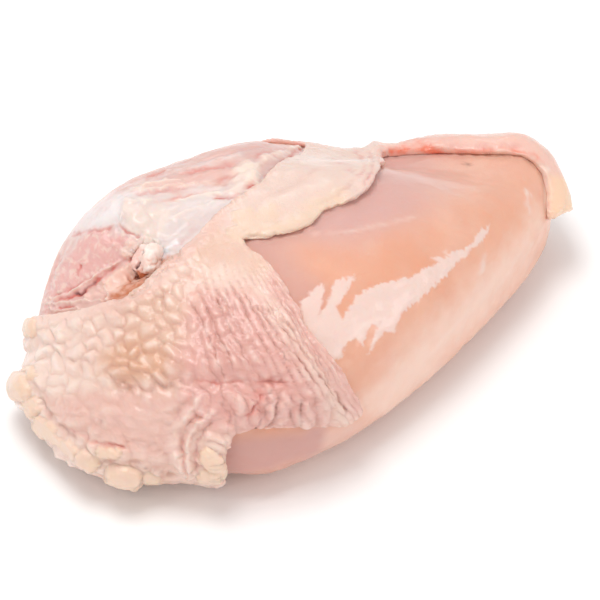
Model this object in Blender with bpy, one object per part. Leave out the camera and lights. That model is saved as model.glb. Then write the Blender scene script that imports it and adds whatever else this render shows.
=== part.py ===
# Raw chicken breast half with its skin on the wing end and the far side.
# The muscle rests on its rib side, and the skin is pulled back from the front of the muscle.
# +X runs from the wing end to the thin tip, +Z is up, and the part rests on z = 0.

import math

import bmesh
import bpy
import numpy as np
from mathutils import Matrix, Vector, noise

MM = 0.001

# Muscle: plan outline at its widest level, walked round from the wing end, in millimetres
GIRTH_OUTLINE = (
    (-82, 2), (-83, -25), (-66, -44.5), (-50, -54), (-30, -58.5), (2, -54.5), (36, -45), (66, -34),
    (82, -24), (92.5, -9), (93.5, 2), (85, 12), (60, 23.5), (30, 37.5), (-10, 50), (-50, 47), (-71, 30),
)
GIRTH_HEIGHT = 20 * MM          # level of the widest outline above the board
CROWN_HEIGHT = 56 * MM          # thickest place, over the middle
TIP_DROP = 20 * MM              # how much lower the thin tip is
TIP_DROP_MIDDLE, TIP_DROP_REACH = 52 * MM, 18 * MM
WING_END_DROP = 9 * MM          # how much the wing end rounds off
WING_END_DROP_MIDDLE, WING_END_DROP_REACH = -72 * MM, 9 * MM
UPPER_FULLNESS = 2.5            # superellipse power of the upper half, 2 is round
LOWER_FULLNESS = 3.2            # the underside is squarer, pressed flat by its weight
SAG_BELOW_BOARD = 2 * MM        # what the board presses flat
WING_END_LEAN = 6 * MM          # how much further the wing end reaches at the board than at the top
LEAN_FROM, LEAN_FULL = -50 * MM, -85 * MM       # x over which the lean comes in
LEAN_TOP, LEAN_FOOT = 42 * MM, 8 * MM           # and the heights between which it grows
MESH_CUTS = 17                  # cuts along each edge of the starting cube

# Swells and dents of the muscle in plan: x, y, half length, half width, turn in degrees, height
MUSCLE_RELIEF = (
    (-57, 9, 17, 6, -24, -9),       # cleft behind the skin, where the wing was cut off
    (-34, 13, 12, 6, 20, -3),       # run-out of the cleft towards the middle
    (-50, 30, 18, 13, -10, 7.5),    # cut face of the shoulder muscle
    (-30, 44, 14, 8, 10, 4),        # its far edge
    (6, 31, 24, 10, 8, 4.5),        # rib-side muscle along the far edge
    (38, 19, 28, 15, -8, -12),      # flatter back, below the folded skin
    (60, 0, 20, 16, 0, -7),         # and where it leads to the tip
    (89, -2, 11, 15, 0, 8),         # fuller tip
)

# Line of sight for the outlines below: the front quarter, from above
SIGHT_TURN = math.radians(-37)
SIGHT_RISE = math.radians(40)
SIGHT_DISTANCE = 790 * MM
SIGHT_TARGET = Vector((0, 0, 18 * MM))
TURNED_AWAY = (0, -0.3)         # facing over which the outlines give way to those of the far side
FOLDS_FADE = (-0.35, -0.75)     # facing over which the folds of the near side run out

# Bare front muscle as sighted, in millimetres right and up of the target
FRONT_WINDOW = (
    (-18.4, 12.5), (-15.6, 13.8), (-14.3, 13.4), (-10.3, 13.5), (-5.8, 14.2), (-2.4, 14.9), (3.4, 15.8),
    (5, 18.5), (9.4, 22), (15, 23.4), (18.5, 25.5), (22.6, 29.3), (24.7, 33.1), (25.4, 35.6),
    (25.6, 38), (32.5, 38.1), (43.5, 39), (60.5, 39.6), (67, 38.8), (71.5, 36.6), (74, 33), (75.2, 28),
    (75.6, 24), (76, 18), (95, 10), (95, -70), (-20, -70), (-22, -57), (-21, -48), (-19, -44.8),
    (-14, -43.5), (-8, -43.1), (1, -42.9), (10, -42.9), (20.5, -42.4), (15.5, -31.9), (12.5, -26.4),
    (6.1, -17.9), (4, -16.1), (2.1, -13.4), (0.9, -10), (-0.3, -8.5), (-2.1, -4.9), (-4, -0.6),
    (-5.2, 1.2), (-8.2, 4.6), (-11.2, 7.2), (-14.3, 9.7), (-17.6, 11.4),
)
# Bare wing end and rib-side muscle as sighted
WING_WINDOW = (
    (2.4, 41.2), (-4.6, 36.6), (-8.8, 32.5), (-13, 28.5), (-18.2, 25.5), (-22.5, 21.5), (-26.5, 17.5),
    (-30.5, 13), (-34.3, 8.7), (-38, 5.4), (-42, 1.6), (-46, -1.8), (-53, -5.3), (-60, -8.3), (-69.5, -9.8),
    (-78, -10.3), (-100, -8), (-100, 70), (8, 70),
)
# Bare far side, between two slanting lines down to the board: x at the top, height there, slope
FAR_BARE_FROM = (-82 * MM, 35 * MM, -0.35)
FAR_BARE_TO = (15 * MM, 50 * MM, 0.3)
NEAR_UNDERSIDE_BARE_FROM = -62 * MM     # x from which the near underside is bare
FAR_SIDE_FROM, FAR_SIDE_TO = -20 * MM, 0 * MM   # y over which the near side turns into the far one
SKIN_CLEAR_OF_BOARD = 3 * MM
FAT_CLEAR_OF_BOARD = 1 * MM
NEAREST_SPLIT = 0.22             # nearer than this share of a mesh edge, its end moves instead

# Skin
SKIN_GAP = 0.35 * MM
SKIN_THICKNESS = 1.7 * MM
SKIN_EDGE_THICKNESS = 1.1 * MM
SKIN_EDGE_TAPER = 4 * MM
GOOSE_FLESH_HEIGHT = 0.45 * MM
GOOSE_FLESH_SPACING = 7 * MM
LEAST_RELIEF = 0.5               # millimetres of fold or fat from which the mesh is finer

# Rolls and folds of the skin as sighted: heights along each, half width, points in millimetres
SKIN_FOLDS = (
    ((2.2, 3.8, 2.3, 1.6, 4.4, 6.5), 3.4, (
        (25, 40), (34, 41.5), (44, 42.2), (56, 42), (66, 42.4), (73, 40), (77.5, 35), (79.5, 28), (79.5, 21),
    )),
    ((1.2, 1.8), 2.4, ((24, 41), (23.5, 36), (22.3, 32), (19.5, 28), (15.5, 25.3))),
    ((0.5, 2.6, 3.2, 2.6, 1.0), 3.3, (
        (-22, 18.5), (-28.5, 11), (-33, 6), (-38, 1.8), (-44, -3.6), (-53, -8), (-62, -11), (-78, -12.4),
    )),
    ((0.6, 1.4), 2.0, ((-16, 13), (-4, 1), (3, -9), (10, -21), (16, -33), (21, -42))),
    ((1.0, 1.8), 2.0, ((-24, -33), (-27, -41), (-29, -48), (-31, -56))),
    ((1.0, 1.6), 1.8, ((-18, -36), (-22, -43), (-24, -50), (-25, -56))),
    ((1.6, 1.6), 2.2, ((-56, -48), (-48, -50), (-40, -51), (-33, -52))),
)
# Lumps of yellow fat on the skin's lower edge as sighted: right, up, radius, height
FAT_LUMPS = (
    (-80, -15, 4.5, 1.6),
    (-78, -31, 5.5, 8.0),
    (-76, -40, 5.5, 6.0),
    (-69, -46.5, 6, 3.8),
    (-61, -52, 6, 3.0),
    (-52, -55, 5.5, 2.5),
    (-25, -52.5, 5.5, 3.5),
)

# Shoulder joint left on the wing end
JOINT_PLACE = Vector((-48.5 * MM, 6.5 * MM, 46 * MM))
JOINT_HALF_SIZE = (6.5 * MM, 5 * MM, 5 * MM)
JOINT_TURN = math.radians(30)
JOINT_KNOBS = 0.35              # share of its size by which the joint is knobbly
JOINT_KNOBS_PER_RADIUS = 1.3
JOINT_CLEARANCE = 0.35 * MM


def clear_scene():
    for obj in list(bpy.data.objects):
        bpy.data.objects.remove(obj)


def make_material(name, colour, roughness):
    material = bpy.data.materials.new(name)
    material.use_nodes = True
    shader = material.node_tree.nodes["Principled BSDF"]
    shader.inputs["Base Color"].default_value = (*colour, 1)
    shader.inputs["Roughness"].default_value = roughness
    shader.inputs["Metallic"].default_value = 0
    return material


def smooth_step(low, high, value):
    share = min(1, max(0, (value - low) / (high - low)))
    return share * share * (3 - 2 * share)


def spline_through(points, closed, steps=8):
    """Points of a smooth curve that passes through the given ones."""
    count = len(points)
    spans = count if closed else count - 1
    curve = []
    for i in range(spans):
        if closed:
            a, b, c, d = (np.array(points[(i + k) % count], float) for k in (-1, 0, 1, 2))
        else:
            a, b, c, d = (np.array(points[min(max(i + k, 0), count - 1)], float) for k in (-1, 0, 1, 2))
        for t in np.arange(steps) / steps:
            bend = (2 * a - 5 * b + 4 * c - d) * t**2 + (3 * b - a - 3 * c + d) * t**3
            curve.append(b + ((c - a) * t + bend) / 2)
    if not closed:
        curve.append(np.array(points[-1], float))
    return np.array(curve)


def nearest_on_line(x, y, line):
    """Distance from a point to a polyline, and how far along it the nearest place is, from 0 to 1."""
    start, step = line[:-1], line[1:] - line[:-1]
    to_point = np.array((x, y)) - start
    along = np.clip((to_point * step).sum(1) / (step * step).sum(1), 0, 1)
    distances = np.hypot(*(to_point - along[:, None] * step).T)
    nearest = distances.argmin()
    return distances[nearest], (nearest + along[nearest]) / len(step)


def depth_inside(x, y, outline):
    """Distance to a closed outline, positive inside it."""
    ring = np.vstack((outline, outline[:1]))
    x0, y0, x1, y1 = ring[:-1, 0], ring[:-1, 1], ring[1:, 0], ring[1:, 1]
    spans = (y0 > y) != (y1 > y)
    crossings = (x < (x1 - x0)[spans] * (y - y0[spans]) / (y1 - y0)[spans] + x0[spans]).sum()
    distance = nearest_on_line(x, y, ring)[0]
    return distance if crossings % 2 else -distance


# Muscle

girth_curve = spline_through(GIRTH_OUTLINE, closed=True, steps=40) * MM
girth_angles = np.arctan2(girth_curve[:, 1], girth_curve[:, 0])
girth_order = np.argsort(girth_angles)
girth_angles = girth_angles[girth_order]
girth_radii = np.hypot(*girth_curve.T)[girth_order]


def crown_at(x, y):
    """Height of the top of the muscle over a place in plan."""
    height = CROWN_HEIGHT
    height -= TIP_DROP / (1 + math.exp((TIP_DROP_MIDDLE - x) / TIP_DROP_REACH))
    height -= WING_END_DROP / (1 + math.exp((x - WING_END_DROP_MIDDLE) / WING_END_DROP_REACH))
    for cx, cy, half_length, half_width, turn, rise in MUSCLE_RELIEF:
        c, s = math.cos(math.radians(turn)), math.sin(math.radians(turn))
        dx, dy = x / MM - cx, y / MM - cy
        along, across = dx * c + dy * s, dy * c - dx * s
        height += rise * MM * math.exp(-((along / half_length) ** 2) - (across / half_width) ** 2)
    return height


def body_point(direction):
    """Where the muscle's surface lies in a direction from its middle."""
    level = math.sqrt(max(0, 1 - direction.z**2))
    upper = direction.z >= 0
    power = 2 / (UPPER_FULLNESS if upper else LOWER_FULLNESS)
    angle = math.atan2(direction.y, direction.x)
    reach = np.interp(angle, girth_angles, girth_radii, period=2 * math.pi) * level**power
    x, y = reach * math.cos(angle), reach * math.sin(angle)
    rise = abs(direction.z) ** power
    if upper:
        z = GIRTH_HEIGHT + (crown_at(x, y) - GIRTH_HEIGHT) * rise
    else:
        z = GIRTH_HEIGHT - (GIRTH_HEIGHT + SAG_BELOW_BOARD) * rise
    x -= WING_END_LEAN * smooth_step(LEAN_FROM, LEAN_FULL, x) * smooth_step(LEAN_TOP, LEAN_FOOT, z)
    return Vector((x, y, max(z, 0)))


def body_mesh():
    """The muscle as a closed mesh of even triangles."""
    bm = bmesh.new()
    bmesh.ops.create_cube(bm, size=2)
    bmesh.ops.subdivide_edges(bm, edges=bm.edges, cuts=MESH_CUTS, use_grid_fill=True)
    for vertex in bm.verts:
        even = Vector([math.tan(side * math.pi / 4) for side in vertex.co])
        vertex.co = body_point(even.normalized())
    bmesh.ops.triangulate(bm, faces=bm.faces, quad_method="SHORT_EDGE")
    bm.normal_update()
    return bm


# Line of sight

sight_back = Vector((
    math.sin(SIGHT_TURN) * math.cos(SIGHT_RISE),
    -math.cos(SIGHT_TURN) * math.cos(SIGHT_RISE),
    math.sin(SIGHT_RISE),
))
sight_right = Vector((math.cos(SIGHT_TURN), math.sin(SIGHT_TURN), 0))
sight_up = sight_back.cross(sight_right)
sight_eye = SIGHT_TARGET + sight_back * SIGHT_DISTANCE


def sighted(point):
    """Where a point is seen, in millimetres right and up of the target."""
    ray = point - sight_eye
    scale = SIGHT_DISTANCE / -ray.dot(sight_back) / MM
    return ray.dot(sight_right) * scale, ray.dot(sight_up) * scale


def facing(point, normal):
    """1 where the surface faces the eye, -1 where it faces away."""
    return normal.dot((sight_eye - point).normalized())


# Skin

front_window = spline_through(FRONT_WINDOW, closed=True, steps=4)
wing_window = spline_through(WING_WINDOW, closed=True, steps=4)
fold_lines = [(*sizes, spline_through(points, closed=False)) for *sizes, points in SKIN_FOLDS]


def bell(distance, half_width):
    return math.exp(-((distance / half_width) ** 2))


def skin_depth(point, normal):
    """How far inside the skin's edge a place on the muscle lies, negative where the muscle is bare."""
    right, up = sighted(point)
    near = -max(depth_inside(right, up, front_window), depth_inside(right, up, wing_window)) * MM
    from_x = FAR_BARE_FROM[0] + (point.z - FAR_BARE_FROM[1]) * FAR_BARE_FROM[2]
    to_x = FAR_BARE_TO[0] + (point.z - FAR_BARE_TO[1]) * FAR_BARE_TO[2]
    far = max(from_x - point.x, point.x - to_x)
    under = NEAR_UNDERSIDE_BARE_FROM - point.x
    unseen = under + (far - under) * smooth_step(FAR_SIDE_FROM, FAR_SIDE_TO, point.y)
    hidden = smooth_step(*TURNED_AWAY, facing(point, normal))
    return min(near + (unseen - near) * hidden, point.z - SKIN_CLEAR_OF_BOARD)


def relief(point):
    """Height of the folds and the fat over a place as sighted, in millimetres."""
    right, up = sighted(point)
    rise = 0
    for heights, half_width, line in fold_lines:
        distance, share = nearest_on_line(right, up, line)
        height = np.interp(share, np.linspace(0, 1, len(heights)), heights)
        rise += height * bell(distance, half_width)
    for lump_right, lump_up, radius, height in FAT_LUMPS:
        rise += height * bell(math.hypot(right - lump_right, up - lump_up), radius)
    return rise


def has_relief(point):
    return relief(Vector(point)) > LEAST_RELIEF


def skin_thickness(point, normal, depth):
    """Skin, folds and fat over a place on the muscle."""
    edge = smooth_step(0, SKIN_EDGE_TAPER, depth)
    thickness = SKIN_EDGE_THICKNESS + (SKIN_THICKNESS - SKIN_EDGE_THICKNESS) * edge
    seen = 1 - smooth_step(*FOLDS_FADE, facing(point, normal))
    goose_flesh = noise.noise(point / GOOSE_FLESH_SPACING) * GOOSE_FLESH_HEIGHT * edge
    return thickness + goose_flesh + relief(point) * MM * seen


def cut_along_edge(bm):
    """Splits the triangles that the skin's edge crosses, so that the edge runs along mesh edges."""
    depth = bm.verts.layers.float.new("depth")
    for vertex in bm.verts:
        vertex[depth] = skin_depth(vertex.co, vertex.normal)
    for edge in bm.edges:
        a, b = edge.verts
        if a[depth] * b[depth] >= 0:
            continue
        share = a[depth] / (a[depth] - b[depth])
        if min(share, 1 - share) < NEAREST_SPLIT:
            nearest = a if share < 0.5 else b
            nearest.co = a.co.lerp(b.co, share)
            nearest[depth] = 0
    for edge in [edge for edge in bm.edges if edge.verts[0][depth] * edge.verts[1][depth] < 0]:
        a, b = edge.verts
        middle = bmesh.utils.edge_split(edge, a, a[depth] / (a[depth] - b[depth]))[1]
        middle[depth] = 0
    bmesh.ops.connect_verts(bm, verts=[vertex for vertex in bm.verts if vertex[depth] == 0])
    bmesh.ops.triangulate(bm, faces=bm.faces, quad_method="SHORT_EDGE")
    bm.normal_update()


def skin_mesh(body):
    """The covered faces of the muscle, lifted off it and grown outwards to the skin's thickness."""
    bm = body.copy()
    depth = bm.verts.layers.float["depth"]
    outward = bm.verts.layers.float_vector.new("outward")
    place = bm.verts.layers.float_vector.new("place")
    for vertex in bm.verts:
        vertex[outward] = vertex.normal
        vertex[place] = vertex.co
    bare = [face for face in bm.faces if sum(vertex[depth] for vertex in face.verts) <= 0]
    bmesh.ops.delete(bm, geom=bare, context="FACES")
    side = bm.verts.layers.float.new("side")
    grown = bmesh.ops.extrude_face_region(bm, geom=bm.faces[:], use_keep_orig=True)["geom"]
    for item in grown:
        if isinstance(item, bmesh.types.BMVert):
            item[side] = 1
    outer_edges = [item for item in grown if isinstance(item, bmesh.types.BMEdge)]
    fine = [edge for edge in outer_edges if any(has_relief(vertex[place]) for vertex in edge.verts)]
    bmesh.ops.subdivide_edges(bm, edges=fine, cuts=1)
    for vertex in bm.verts:
        point, normal = Vector(vertex[place]), Vector(vertex[outward]).normalized()
        lift = SKIN_GAP
        if vertex[side] == 1:
            lift += skin_thickness(point, normal, max(0, vertex[depth]))
        vertex.co = point + normal * lift
        vertex.co.z = max(vertex.co.z, FAT_CLEAR_OF_BOARD)
    bmesh.ops.triangulate(bm, faces=bm.faces, quad_method="SHORT_EDGE")
    bmesh.ops.recalc_face_normals(bm, faces=bm.faces)
    return bm


def joint_mesh(clearance=0):
    """The shoulder joint as a knobbly ball, or with a clearance, the pocket that it sits in."""
    bm = bmesh.new()
    bmesh.ops.create_icosphere(bm, subdivisions=3, radius=1)
    turn = Matrix.Rotation(JOINT_TURN, 3, "Z")
    for vertex in bm.verts:
        knob = 1 + JOINT_KNOBS * noise.noise(vertex.co * JOINT_KNOBS_PER_RADIUS)
        size = Vector([half * knob + clearance for half in JOINT_HALF_SIZE])
        vertex.co = JOINT_PLACE + turn @ (vertex.co * size)
    return bm


def add_object(name, bm, material):
    mesh = bpy.data.meshes.new(name)
    bm.to_mesh(mesh)
    bm.free()
    mesh.shade_smooth()
    mesh.materials.append(material)
    obj = bpy.data.objects.new(name, mesh)
    bpy.context.scene.collection.objects.link(obj)
    return obj


def cut_pocket(obj, cutter):
    """Cuts the cutter out of the object and keeps the cutter as a hidden guide."""
    cutter.hide_render = True
    cutter.display_type = "WIRE"
    pocket = obj.modifiers.new("joint pocket", "BOOLEAN")
    pocket.operation = "DIFFERENCE"
    pocket.object = cutter


def centre_on_board(objects):
    """Moves the whole part so that the middle of its footprint lies at the origin."""
    points = [vertex.co for obj in objects for vertex in obj.data.vertices]
    middle = [(min(p[axis] for p in points) + max(p[axis] for p in points)) / 2 for axis in (0, 1)]
    shift = Matrix.Translation((-middle[0], -middle[1], 0))
    for obj in objects:
        obj.data.transform(shift)
    print(f"moved by {-middle[0] / MM:.2f} and {-middle[1] / MM:.2f} mm")


def main():
    clear_scene()
    muscle = make_material("raw_muscle", (0.80, 0.46, 0.37), 0.3)
    skin = make_material("raw_skin", (0.85, 0.62, 0.48), 0.4)
    cartilage = make_material("cartilage", (0.85, 0.72, 0.66), 0.35)
    body = body_mesh()
    cut_along_edge(body)
    skin_obj = add_object("skin", skin_mesh(body), skin)
    meat = add_object("breast_meat", body, muscle)
    joint = add_object("shoulder_joint", joint_mesh(), cartilage)
    pocket = add_object("joint_pocket", joint_mesh(JOINT_CLEARANCE), cartilage)
    centre_on_board([skin_obj, meat, joint, pocket])
    cut_pocket(meat, pocket)


main()
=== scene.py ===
import math

import bmesh
import bpy
import numpy as np
from mathutils import Matrix, Vector, noise
from mathutils.bvhtree import BVHTree


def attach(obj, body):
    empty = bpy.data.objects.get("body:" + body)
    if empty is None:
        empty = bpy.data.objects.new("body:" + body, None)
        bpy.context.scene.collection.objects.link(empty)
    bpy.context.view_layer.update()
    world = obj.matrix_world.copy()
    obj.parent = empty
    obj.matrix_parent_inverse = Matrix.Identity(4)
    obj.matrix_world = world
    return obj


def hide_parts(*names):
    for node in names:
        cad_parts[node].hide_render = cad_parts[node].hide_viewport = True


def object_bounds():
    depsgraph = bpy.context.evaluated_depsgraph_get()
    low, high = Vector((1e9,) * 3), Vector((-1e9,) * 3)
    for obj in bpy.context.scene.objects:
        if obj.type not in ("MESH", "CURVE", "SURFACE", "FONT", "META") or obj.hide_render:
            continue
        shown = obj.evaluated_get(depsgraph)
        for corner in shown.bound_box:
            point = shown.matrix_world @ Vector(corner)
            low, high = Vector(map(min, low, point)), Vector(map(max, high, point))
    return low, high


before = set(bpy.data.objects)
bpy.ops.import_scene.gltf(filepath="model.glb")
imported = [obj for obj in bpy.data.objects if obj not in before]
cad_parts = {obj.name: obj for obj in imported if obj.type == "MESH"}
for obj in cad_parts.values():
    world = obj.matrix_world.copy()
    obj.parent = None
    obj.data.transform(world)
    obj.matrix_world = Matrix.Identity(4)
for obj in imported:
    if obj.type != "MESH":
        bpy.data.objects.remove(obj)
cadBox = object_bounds()
scene = bpy.context.scene
mm = 0.001

# Camera: in front to the left, 40 degrees up, with a long lens
cameraValues = {
    "turn": -37,
    "rise": 40,
    "distance": 0.79,
    "lens": 156,
    "sensor": 36,
    "aim": (-0.00046, 0.00505, 0.018),
    "aimPixel": (297, 283),
    "picture": 600,
}
turn, tilt = math.radians(cameraValues["turn"]), math.radians(cameraValues["rise"])
viewForward = np.array((math.sin(turn), -math.cos(turn), 0))
viewBack = viewForward * math.cos(tilt) + (0, 0, math.sin(tilt))
viewRight = np.array((math.cos(turn), math.sin(turn), 0))
viewUp = np.cross(viewBack, viewRight)
viewPoint = np.array(cameraValues["aim"]) + viewBack * cameraValues["distance"]
focalPixels = cameraValues["picture"] * cameraValues["lens"] / cameraValues["sensor"]
pixelsPerMm = focalPixels / cameraValues["distance"] * mm


def pictured(points):
    # where points of the object lie in the picture, in pixels right and down
    ray = points - viewPoint
    scale = focalPixels / -(ray @ viewBack)
    x, y = cameraValues["aimPixel"]
    return np.stack((x + ray @ viewRight * scale, y - ray @ viewUp * scale), 1)


def facingView(points, normals):
    # 1 where the surface faces the camera, -1 where it faces away
    ray = viewPoint - points
    return (normals * ray).sum(1) / np.linalg.norm(ray, axis=1)


def smoothStep(low, high, value):
    share = np.clip((value - low) / (high - low), 0, 1)
    return share * share * (3 - 2 * share)


def lineDistance(places, line):
    # distance of each place to a polyline, and the share of the way along it
    line = np.array(line, float)
    best = np.full(len(places), 1e9)
    share = np.zeros(len(places))
    lengths = np.hypot(*(line[1:] - line[:-1]).T)
    for i in range(len(line) - 1):
        step = line[i + 1] - line[i]
        offset = places - line[i]
        along = np.clip(offset @ step / (step @ step), 0, 1)
        away = offset - along[:, None] * step
        distance = np.hypot(away[:, 0], away[:, 1])
        nearer = distance < best
        best = np.where(nearer, distance, best)
        share = np.where(nearer, (lengths[:i].sum() + along * lengths[i]) / lengths.sum(), share)
    return best, share


def nearLine(places, line, far, near):
    # 0 farther than far from a polyline, 1 nearer than near
    return smoothStep(far, near, lineDistance(places, line)[0])


def insideOutline(places, outline):
    # distance to a closed outline in pixels, positive inside
    ring = np.array(list(outline) + [outline[0]], float)
    inside = np.zeros(len(places), bool)
    for (x0, y0), (x1, y1) in zip(ring[:-1], ring[1:]):
        if y0 == y1:
            continue
        crosses = (y0 > places[:, 1]) != (y1 > places[:, 1])
        inside ^= crosses & (places[:, 0] < (x1 - x0) * (places[:, 1] - y0) / (y1 - y0) + x0)
    distance = lineDistance(places, ring)[0]
    return np.where(inside, distance, -distance)


def within(places, outline, outer, inner):
    # 0 outside an outline, 1 inside, blended between two depths in pixels
    return smoothStep(outer, inner, insideOutline(places, outline))


def smoothLine(points, steps=6):
    # a smooth curve through the points
    points = np.array(points, float)
    padded = np.vstack((points[:1], points, points[-1:]))
    curve = []
    for a, b, c, d in zip(padded, padded[1:], padded[2:], padded[3:]):
        for t in np.arange(steps) / steps:
            bend = (2 * a - 5 * b + 4 * c - d) * t**2 + (3 * b - a - 3 * c + d) * t**3
            curve.append(b + ((c - a) * t + bend) / 2)
    return np.array(curve + [points[-1]])


def noiseAt(points, size, octaves, seed):
    # smooth noise from about -1 to 1, size in millimetres
    scaled = points / (size * mm) + seed * 17.3
    return np.array([noise.fractal(Vector(p), 0.7, 2, octaves) for p in scaled])


def shaken(points, pixels, size, octaves, seed, amount):
    # places in the picture moved by noise, so that what they draw gets a ragged edge
    across, down = (noiseAt(points, size, octaves, seed + i) for i in range(2))
    return pixels + np.stack((across, down), 1) * amount


def cellBorders(points, size, seed):
    # distance to the border between irregular cells, 0 on it
    scaled = points / (size * mm) + seed * 17.3
    pairs = np.array([noise.voronoi(Vector(p))[0][:2] for p in scaled])
    return pairs[:, 1] - pairs[:, 0]


def rowCells(row, along):
    # cells that sit in rows, shaken a little: distance to the border, and a share of its own for each
    corner = np.floor(np.stack((row, along), 1))
    first, second, share = (np.full(len(row), value) for value in (9.0, 9.0, 0.0))
    for i in (-1, 0, 1):
        for j in (-2, -1, 0, 1, 2):
            cell = corner + (i, j)
            shake = np.mod(np.sin(cell @ ((127.1, 269.5), (311.7, 183.3))) * 4375.85, 1)
            middle = cell + 0.5 + (shake - 0.5) * (0.4, 0.55)
            middle[:, 1] += 0.5 * np.mod(cell[:, 0], 2)
            distance = np.hypot(row - middle[:, 0], (along - middle[:, 1]) * 0.85)
            share = np.where(distance < first, shake[:, 0], share)
            second = np.minimum(second, np.maximum(first, distance))
            first = np.minimum(first, distance)
    return second - first, share


# small moves that bring the outline to where the picture has it:
# place, reach and shift in pixels, and whether it moves along the table
outlineNudges = (
    ((485, 128), 38, (0, 6), False),
    ((563, 222), 14, (0, -7), False),
    ((268, 474), 30, (0, 6), True),
    ((95, 472), 16, (0, -4), True),
)


def nudge(points):
    pixels = pictured(points)
    moved = points.copy()
    for place, reach, (x, y), lying in outlineNudges:
        near = np.exp(-(((pixels - place) ** 2).sum(1)) / reach**2)[:, None] * mm / pixelsPerMm
        downward = viewForward / math.sin(tilt) if lying else -viewUp
        moved += near * (viewRight * x + downward * y)
    return moved


# Meshes


def addObject(name, data):
    obj = bpy.data.objects.new(name, data)
    scene.collection.objects.link(obj)
    return obj


def mergedNode(node):
    bm = bmesh.new()
    bm.from_mesh(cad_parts[node].data)
    bmesh.ops.remove_doubles(bm, verts=bm.verts, dist=0.00002)
    return bm


def copyOfNode(node, name):
    bm = mergedNode(node)
    mesh = bpy.data.meshes.new(name)
    bm.to_mesh(mesh)
    bm.free()
    return addObject(name, mesh)


def roundOff(obj, levels):
    rounding = obj.modifiers.new("rounding", "SUBSURF")
    rounding.levels = levels
    rounding.render_levels = levels
    depsgraph = bpy.context.evaluated_depsgraph_get()
    mesh = bpy.data.meshes.new_from_object(obj.evaluated_get(depsgraph))
    obj.modifiers.clear()
    obj.data = mesh


def surfaceOf(mesh):
    count = len(mesh.vertices)
    points, normals = np.zeros(count * 3), np.zeros(count * 3)
    mesh.vertices.foreach_get("co", points)
    mesh.vertices.foreach_get("normal", normals)
    return points.reshape(-1, 3), normals.reshape(-1, 3)


def finishPiece(obj, points, tints):
    # places the vertices, which never leave the solids' box, and keeps the tints as attributes
    obj.data.vertices.foreach_set("co", np.clip(points, cadBox[0], cadBox[1]).ravel())
    obj.data.update()
    for name, values in tints.items():
        layer = obj.data.attributes.new(name, "FLOAT", "POINT")
        layer.data.foreach_set("value", np.clip(values, 0, 1))
    obj.data.polygons.foreach_set("use_smooth", [True] * len(obj.data.polygons))
    return obj


def smoothed(bm, verts):
    bmesh.ops.smooth_vert(bm, verts=verts, factor=0.5, use_axis_x=True, use_axis_y=True, use_axis_z=True)


def makeFiner(obj, passes):
    # cuts the faces that a test picks in half each way, once for each test
    for picked in passes:
        bm = bmesh.new()
        bm.from_mesh(obj.data)
        bm.normal_update()
        centres = np.array([face.calc_center_median() for face in bm.faces])
        normals = np.array([face.normal for face in bm.faces])
        chosen = picked(centres, normals)
        faces = [face for face, wanted in zip(bm.faces[:], chosen) if wanted]
        print(obj.name, len(bm.faces), "faces,", len(faces), "to be cut")
        edges = list({edge for face in faces for edge in face.edges})
        cut = bmesh.ops.subdivide_edges(bm, edges=edges, cuts=1, use_grid_fill=True)
        verts = [item for item in cut["geom_inner"] if isinstance(item, bmesh.types.BMVert)]
        smoothed(bm, list({other for vert in verts for edge in vert.link_edges for other in edge.verts}))
        bm.to_mesh(obj.data)
        bm.free()


def nearThinLines(pixels, strokes, widest, reach):
    near = np.zeros(len(pixels), bool)
    for _, halfWidth, _, _, line in strokes:
        if halfWidth <= widest:
            near |= lineDistance(pixels, line)[0] < reach
    return near


def treeOf(node):
    # a node's surface, for finding what lies over or under a point
    bm = mergedNode(node)
    tree = BVHTree.FromBMesh(bm)
    bm.free()
    return tree


def coveredBy(tree, points, normals, reach):
    # 1 where something lies over the surface within the reach
    covered = np.zeros(len(points))
    for i, (point, normal) in enumerate(zip(points, normals)):
        covered[i] = tree.ray_cast(Vector(point), Vector(normal), reach)[0] is not None
    return covered


def overSurface(tree, points, normals):
    # how far points lie from a surface, how their normals stand to its own, and its normals there
    distance, turned, own = np.zeros(len(points)), np.zeros(len(points)), np.zeros((len(points), 3))
    for i, (point, normal) in enumerate(zip(points, normals)):
        _, nearest, _, distance[i] = tree.find_nearest(Vector(point))
        own[i] = nearest
        turned[i] = Vector(normal).dot(nearest)
    return distance, turned, own


def raiseStrokes(strokes, points, pixels, seen, tints):
    # height in metres of every crease and ridge, and the tints along them; each wavers a little
    height = np.zeros(len(pixels))
    wavering = shaken(points, pixels, 2.5, 2, 51, 2.2)
    fullness = np.clip(0.85 + noiseAt(points, 4, 2, 53) * 0.9, 0.25, 1.3)
    for rise, halfWidth, tint, strength, line in strokes:
        distance, share = lineDistance(wavering, smoothLine(line))
        ends = smoothStep(0, 0.12, share) * smoothStep(1, 0.88, share)
        bell = np.exp(-((distance / (halfWidth * pixelsPerMm)) ** 2)) * ends * seen * fullness
        height += rise * mm * bell
        if tint:
            tints[tint] = np.maximum(tints[tint], bell * strength)
    return height


# Materials


def linear(hexColour):
    channels = [int(hexColour[i:i + 2], 16) / 255 for i in (0, 2, 4)]
    return (*[c / 12.92 if c <= 0.04045 else ((c + 0.055) / 1.055) ** 2.4 for c in channels], 1)


def addNode(tree, kind, settings={}, inputs={}):
    node = tree.nodes.new(kind)
    for name, value in settings.items():
        setattr(node, name, value)
    for name, value in inputs.items():
        if isinstance(value, bpy.types.NodeSocket):
            tree.links.new(value, node.inputs[name])
        else:
            node.inputs[name].default_value = value
    return node


def newMaterial(name, shaderInputs):
    material = bpy.data.materials.new(name)
    material.use_nodes = True
    tree = material.node_tree
    tree.nodes.clear()
    shader = addNode(tree, "ShaderNodeBsdfPrincipled", {"subsurface_method": "RANDOM_WALK"}, shaderInputs)
    addNode(tree, "ShaderNodeOutputMaterial", {}, {"Surface": shader.outputs["BSDF"]})
    return material, tree, shader


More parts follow.
